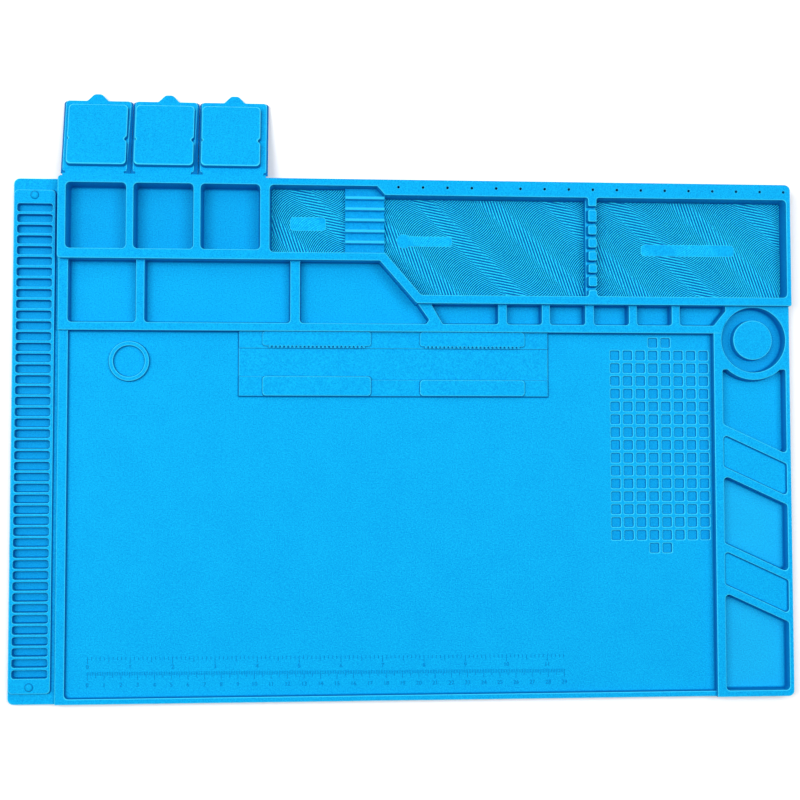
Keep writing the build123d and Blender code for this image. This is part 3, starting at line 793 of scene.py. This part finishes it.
def tool_rest(blue):
    """Channels across the rest, with its ribs rounded over and both ends lipped."""
    profile = [(SMALL_FRONT - 0.6, REST_FLOOR)]
    half, lip, cove = RIB_WIDTH / 2, 0.6, 0.9
    for index in range(RIB_COUNT):
        y = RIB_Y0 + index * RIB_PITCH
        rise = [(-half - cove * (1 - s), REST_FLOOR + cove * (1 - c)) for s, c in quarter(3)]
        crown = [(-half + lip * (1 - s), RIB_TOP - lip * (1 - c)) for s, c in quarter(3)][::-1]
        side = rise + crown
        profile += [(y + dy, z) for dy, z in side]
        profile += [(y - dy, z) for dy, z in reversed(side)]
    profile.append((SMALL_REAR + 0.6, REST_FLOOR))
    skin = Skin()
    edge = 0.5
    stations = [(SMALL_RIGHT - 0.1, None)]
    stations += [(SMALL_RIGHT + edge * (1 - c), edge * (1 - s)) for s, c in quarter(3)]
    stations += [(REST_RIGHT - edge * (1 - c), edge * (1 - s)) for s, c in reversed(quarter(3))]
    stations += [(REST_RIGHT + 0.1, None)]
    rows = []
    for x, drop in stations:
        start = len(skin.points)
        skin.points += [(x, y, BASE if drop is None else z - drop) for y, z in profile]
        # Painted shade deepens the channel floors and a painted highlight lightens the rib tops, blended by
        # height
        for index, (_, z) in enumerate(profile, start):
            share = (z - REST_FLOOR) / (RIB_TOP - REST_FLOOR)
            skin.tones[index] = REST_SHADE_AND_LIGHT[0] + (REST_SHADE_AND_LIGHT[1] - REST_SHADE_AND_LIGHT[0]) * share
        rows.append(list(range(start, len(skin.points))))
    for near, far in zip(rows, rows[1:]):
        skin.band(near, far, outwards=True, closed=False)
    skin.piece("tool_rest", blue, nodes=["tool_rest", "rest_ribs"])


def divider(blue):
    skin = Skin()
    left, right = DIVIDER_X
    wall = box_corners(left, right, TRAY_FRONT - 1, TRAY_REAR + 1)
    raised(skin, wall, NOTCH_FLOOR, RIDGE_LOW, radius=0.3, lip=0.4, cove=1.2, slope=SLOPE / 2)
    skin.piece("divider_wall", blue, nodes=["divider_wall"])

    skin = Skin()
    edges = [y + side * NOTCH_WIDTH / 2 for y in NOTCH_Y for side in (-1, 1)][1:-1]
    for low, high in zip(edges[::2], edges[1::2]):
        tooth = box_corners(*TOOTH_X, low, high)
        raised(skin, tooth, TOP, NOTCH_FLOOR, radius=1.0, lip=0.5, cove=0.5, slope=SLOPE / 2)
    skin.piece("divider_teeth", blue, nodes=["divider_teeth"])


def window(value, middle, half):
    """1 at middle, fading smoothly to 0 at half away."""
    x = abs(value - middle) / half
    return 0.0 if x >= 1 else 0.5 + 0.5 * math.cos(math.pi * x)


def ridge_height(x, y, first_flat, repeat):
    """Height of the ripple pattern from 0 to 1.

    Bands of nearly level ridges and bands of steep ridges alternate along one diagonal. Finer ridges swing
    from the one direction to the other in between.
    """
    along, across = (x + y) / math.sqrt(2), (x - y) / math.sqrt(2)
    phase = ((along - first_flat) / repeat) % 1.0
    flat = max(window(phase, 0.0, BAND_HALF), window(phase, 1.0, BAND_HALF))
    steep = window(phase, 0.5, BAND_HALF)
    fine = max(0.0, 1.0 - 1.6 * flat - 1.6 * steep)
    swing = SWING * repeat / (2 * math.pi)
    wave = 0.5 * flat * math.cos(2 * math.pi * (FLAT_RIDGE[0] * x + FLAT_RIDGE[1] * y) / FLAT_PITCH)
    wave += 0.5 * steep * math.cos(2 * math.pi * (STEEP_RIDGE[0] * x + STEEP_RIDGE[1] * y) / STEEP_PITCH)
    wave += fine * math.cos(2 * math.pi * (across - swing * math.sin(2 * math.pi * phase)) / FINE_PITCH)
    return min(max(0.5 + RIDGE_GAIN * wave, 0.0), 1.0)


def ridged_pad(name, ridged, x0, x1, y0, y1, first_flat, repeat, keep=lambda x, y: True, step=0.28):
    columns, rows = round((x1 - x0) / step), round((y1 - y0) / step)
    skin = Skin()
    index = {}
    for j in range(rows + 1):
        y = y0 + (y1 - y0) * j / rows
        for i in range(columns + 1):
            x = x0 + (x1 - x0) * i / columns
            if keep(x, y):
                index[i, j] = len(skin.points)
                rise = ridge_height(x, y, first_flat, repeat)
                skin.points.append((x, y, RIDGE_LOW + (RIDGE_HIGH - RIDGE_LOW) * rise))
    for (i, j), corner in index.items():
        quad = [index.get(k) for k in ((i, j), (i + 1, j), (i + 1, j + 1), (i, j + 1))]
        if None not in quad:
            skin.faces.append(quad)
    skin.piece(name, ridged, nodes=[name], sharp=180)


def ridged_floors(ridged):
    inset = 1.0
    ridged_pad("ridged_pad_small", ridged, SMALL_LEFT + inset, SMALL_RIGHT, SMALL_FRONT + inset,
               SMALL_REAR - inset, 62.0, 54.0)

    def inside(x, y):
        """Right of the diagonal front corner of the left tray."""
        share = (x - REST_RIGHT) / (DIAGONAL_FOOT - REST_RIGHT)
        return y > SMALL_FRONT + min(share, 1.0) * (TRAY_FRONT - SMALL_FRONT) + inset

    ridged_pad("ridged_pad_left", ridged, REST_RIGHT, DIVIDER_X[0], TRAY_FRONT + inset, TRAY_REAR - inset,
               111.4, 58.0, inside)
    ridged_pad("ridged_pad_right", ridged, DIVIDER_X[1], TRAY_RIGHT - inset, TRAY_FRONT + inset,
               TRAY_REAR - inset, 197.0, 59.0)


def tags(blue):
    """Blank raised tags in the three ridged trays."""
    skin = Skin()
    for bounds in TAGS:
        raised(skin, box_corners(*bounds), TAG_TOP, RIDGE_LOW, radius=2.2, lip=0.3, cove=0.1)
    raised(skin, circle(LOBE, LOBE_RADIUS, 28), TAG_TOP - 0.01, RIDGE_LOW, lip=0.3, cove=0.1)
    skin.piece("tray_tags", blue)


# ---------------------------------------------------------------- ruler

def ruler_ticks(blue):
    """Raised ticks in a painted deeper tone: an upper row every 1/10 inch, a lower one every millimetre."""
    skin = Skin()

    def tick(x, y_top, length):
        corners = box_corners(x - TICK_WIDTH / 2, x + TICK_WIDTH / 2, y_top - length, y_top)
        top = skin.loop(rounded(corners, 0.04, 0.03, 2), FLOOR + TICK_RISE, RULER_TONE)
        foot = skin.loop(rounded(corners, 0.0, 0.05, 2), FLOOR - 0.02, -1.0)
        skin.level(top)
        skin.band(top, foot, outwards=True)

    def row(count, step, y, lengths):
        for number in range(count + 1):
            length = lengths[0] if number % 10 == 0 else lengths[1] if number % 5 == 0 else lengths[2]
            tick(RULER_X + number * step, y - RULER_LEAN * number * step, length)

    row(RULER_LENGTH, 1, METRIC_TICKS_Y, METRIC_TICKS)
    row(int(RULER_LENGTH / INCH * 10), INCH / 10, INCH_TICKS_Y, INCH_TICKS)
    skin.piece("ruler_ticks", blue)


def ruler_numbers(blue):
    """Plain raised numbers under both rows of ticks."""
    places = []
    for step, (y, lean) in ((10, METRIC_NUMBERS_Y), (INCH, INCH_NUMBERS_Y)):
        for number in range(int(RULER_LENGTH / step) + 1):
            places.append((str(number), RULER_X + step * number, y + lean * number))
    meshes = []
    for text, x, y in places:
        curve = bpy.data.curves.new("number", "FONT")
        curve.body = text
        curve.size = NUMBER_SIZE * MM * 1.35
        curve.align_x = "CENTER"
        curve.extrude = TICK_RISE * MM
        curve.resolution_u = 3
        holder = bpy.data.objects.new("number", curve)
        bpy.context.scene.collection.objects.link(holder)
        bpy.context.view_layer.update()
        mesh = bpy.data.meshes.new_from_object(holder)
        mesh.transform(Matrix.Translation(Vector((x, y, FLOOR)) * MM))
        meshes.append(mesh)
        bpy.data.objects.remove(holder)
    joined = Skin()
    for mesh in meshes:
        start = len(joined.points)
        joined.points += [tuple(v.co / MM) for v in mesh.vertices]
        joined.tones.update({i: RULER_TONE for i in range(start, len(joined.points))})
        joined.faces += [[start + i for i in face.vertices] for face in mesh.polygons]
    joined.piece("ruler_numbers", blue, sharp=30)


# ---------------------------------------------------------------- lids

def droop():
    at = Vector((0, HINGE_Y, HINGE_Z)) * MM
    turn = Matrix.Rotation(math.radians(-DROOP), 4, "X")
    return Matrix.Translation(at) @ turn @ Matrix.Translation(-at)


def flap(side, blue, left, right, narrowing, shift):
    """The flat flap with its thumb tab.

    The front face follows the CAD flap, whose right side runs in towards the fold. The back is FLAP_BEVEL
    wider on both sides and keeps that width up to the fold, so it reaches past the CAD flap. The slanted
    sides between them are painted a much deeper blue: painted shade in the gaps between the lids.
    """
    middle, start = (left + right) / 2 + shift, WEB_END - 0.8
    inset = WEB_INSET * (WEB_END - start) / (WEB_END - WEB_START)
    far = [
        (middle + TAB_WIDTH / 2, FLAP_FAR), (middle + TAB_CREST / 2, FLAP_FAR + TAB_REACH),
        (middle - TAB_CREST / 2, FLAP_FAR + TAB_REACH), (middle - TAB_WIDTH / 2, FLAP_FAR),
    ]
    face = [
        (left + inset, start), (right - narrowing - inset, start), (right - narrowing, WEB_END),
        (right, FLAP_FAR), *far, (left, FLAP_FAR), (left, WEB_END),
    ]
    x0, x1, near = left - FLAP_BEVEL, right + FLAP_BEVEL, WEB_START + 0.1
    back = [(x0, near), (x1, near), (x1, WEB_END), (x1, FLAP_FAR), *far, (x0, FLAP_FAR), (x0, WEB_END)]
    radii = [None, None, 0.8, 2.0, 1.5, 2.6, 2.6, 1.5, 2.0, 0.8]
    skin = Skin()
    lip = 0.5
    rows = [(TOP - lip * (1 - c), lip * (1 - s)) for s, c in quarter(3)]
    rows += [(TOP - FLAP_THICK + lip * (1 - s), lip * (1 - c)) for s, c in quarter(3)]
    loops = []
    # Rows take FLAP_TONES: a painted highlight on the rim, painted shade on the slanted sides between the
    # lids
    for row, (height, edge_inset) in enumerate(rows):
        corners = back if row > 3 else face
        insets = [0.0] + [edge_inset] * (len(corners) - 1)
        loops.append(skin.loop(rounded(corners, insets, radii), height, FLAP_TONES[row]))
    skin.level(loops[0])
    skin.under(loops[-1])
    for upper, lower in zip(loops, loops[1:]):
        skin.band(upper, lower, outwards=True)
    skin.piece(f"lid_flap_{side}", blue, body=f"lid_{side}", nodes=[f"lid_flap_{side}"], turn=droop())


def plug(side, blue, left):
    """The raised block on the lid, with a blunt notch in its right side and a smaller one in its left."""
    x0, x1 = left + PLUG_GAP, left + BOX_WIDTH - PLUG_GAP
    near, far = (2 * HINGE_Y - y for y in reversed(BOX_Y))
    near, far = near + PLUG_GAP, far - PLUG_GAP
    middle = (near + far) / 2 - NOTCH_BACK
    corners = [
        (x0, near), (x1, near), (x1, middle - 2.0), (x1 - NOTCH, middle), (x1, middle + 2.0), (x1, far),
        (x0, far), (x0, middle + 1.2), (x0 + SMALL_NOTCH, middle), (x0, middle - 1.2),
    ]
    radii = [2.6, 2.6, 1.2, 0.9, 1.2, 2.6, 2.6, 0.8, 0.6, 0.8]
    skin = Skin()
    raised(skin, corners, TOP + PLUG_HEIGHT, TOP, radius=radii, lip=0.7, cove=0.45)
    skin.piece(f"lid_plug_{side}", blue, body=f"lid_{side}", nodes=[f"lid_plug_{side}"], turn=droop())


def fold(side, blue, lip_left, lip_right, left, right, narrowing):
    """The thin moulded fold between the mat's rear edge and the flap, narrowest just past the hinge line."""
    skin = Skin()
    stations = [(y, lip_left, lip_right) for y in (158.4, 159.0, 159.5, 159.9, 160.2, WEB_START - 0.1)]
    for step in range(9):
        share = step / 8
        inset = WEB_INSET * (1 - share ** 2)
        stations.append((WEB_START + share * (WEB_END - WEB_START), left + inset, right - narrowing - inset))
    stations.append((WEB_END + 0.3, left + 0.1, right - narrowing - 0.1))
    rings = []
    for y, x0, x1 in stations:
        drop = max(0.0, y - HINGE_Y) * math.tan(math.radians(DROOP))
        crease = 0.12 * math.exp(-((y - HINGE_Y) / 0.6) ** 2)
        high, low = TOP - 0.012 - drop - crease, TOP - WEB_THICK - drop + crease
        begin = len(skin.points)
        skin.points += [(x0, y, low), (x1, y, low), (x1, y, high), (x0, y, high)]
        rings.append(list(range(begin, begin + 4)))
    for near, far in zip(rings, rings[1:]):
        skin.band(near, far, outwards=True)
    skin.faces.append(tuple(reversed(rings[0])))
    skin.faces.append(tuple(rings[-1]))
    sheet = skin.piece(f"fold_{side}", blue, body=None, nodes=[f"hinge_lip_{side}"], sharp=40)
    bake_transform(sheet)


# ---------------------------------------------------------------- stage

def area_light(name, at, target, size, power):
    light = bpy.data.lights.new(name, "AREA")
    light.shape, light.size, light.energy = "SQUARE", size, power
    lamp = bpy.data.objects.new(name, light)
    lamp.location = at
    lamp.rotation_euler = (Vector(target) - Vector(at)).to_track_quat("-Z", "Y").to_euler()
    bpy.context.scene.collection.objects.link(lamp)


def stage():
    mesh = bpy.data.meshes.new("floor")
    mesh.from_pydata([(-4, -4, 0), (4, -4, 0), (4, 4, 0), (-4, 4, 0)], [], [(0, 1, 2, 3)])
    mesh.materials.append(floor_material())
    ground = bpy.data.objects.new("floor", mesh)
    ground.location.z = -0.0002
    bpy.context.scene.collection.objects.link(ground)

    area_light("left_softbox", (-0.85, 0.2, 1.6), (0, 0, 0), 0.9, 19)
    area_light("right_softbox", (0.75, 0.2, 1.6), (0, 0, 0), 0.9, 16)
    area_light("rear_softbox", (0.0, 1.3, 1.5), (0, 0, 0), 0.9, 5)
    area_light("side_softbox", (-1.6, 0.4, 1.0), (0, 0, 0), 0.9, 4)

    world = bpy.data.worlds.new("studio")
    world.use_nodes = True
    world.node_tree.nodes["Background"].inputs["Color"].default_value = (0.95, 0.97, 1.0, 1)
    world.node_tree.nodes["Background"].inputs["Strength"].default_value = 0.22
    bpy.context.scene.world = world
    bpy.context.scene.view_settings.view_transform = "Standard"

    lens = bpy.data.cameras.new("camera")
    lens.lens, lens.sensor_width = CAMERA_LENS, 36.0
    lens.clip_start = 0.01
    camera = bpy.data.objects.new("camera", lens)
    camera.location, camera.rotation_euler = CAMERA_AT, CAMERA_TURN
    bpy.context.scene.collection.objects.link(camera)
    bpy.context.scene.camera = camera


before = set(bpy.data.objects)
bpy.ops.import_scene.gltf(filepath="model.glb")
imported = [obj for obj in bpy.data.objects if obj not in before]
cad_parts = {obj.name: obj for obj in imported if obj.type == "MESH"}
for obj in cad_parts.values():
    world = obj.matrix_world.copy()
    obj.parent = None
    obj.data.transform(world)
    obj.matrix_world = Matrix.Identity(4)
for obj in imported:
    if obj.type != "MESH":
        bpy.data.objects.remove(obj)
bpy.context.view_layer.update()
blue = silicone_material()
ridged = silicone_material("silicone_ridged", grooves=True)
magnet = magnet_material()
for node in ("magnet_sheet_small", "magnet_sheet_left", "magnet_sheet_right"):
    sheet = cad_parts[node]
    sheet.data.materials.clear()
    sheet.data.materials.append(magnet)

base_sheet(blue)
edge_strip(blue)
box_row(blue)
tray_frame(blue)
middle_rows(blue)
bin_column(blue)
low_border(blue)
work_area(blue)
locating_ring(blue)
board_clamp(blue)
tool_rest(blue)
divider(blue)
ridged_floors(ridged)
tags(blue)
ruler_ticks(blue)
ruler_numbers(blue)
for index, side in enumerate(SIDES):
    flap(side, blue, *FLAPS[index], FLAP_NARROWING[index], TAB_SHIFTS[index])
    plug(side, blue, BOX_LEFTS[index])
    fold(side, blue, LIP_X[index], LIP_X[index + 1], *FLAPS[index], FLAP_NARROWING[index])
stage()
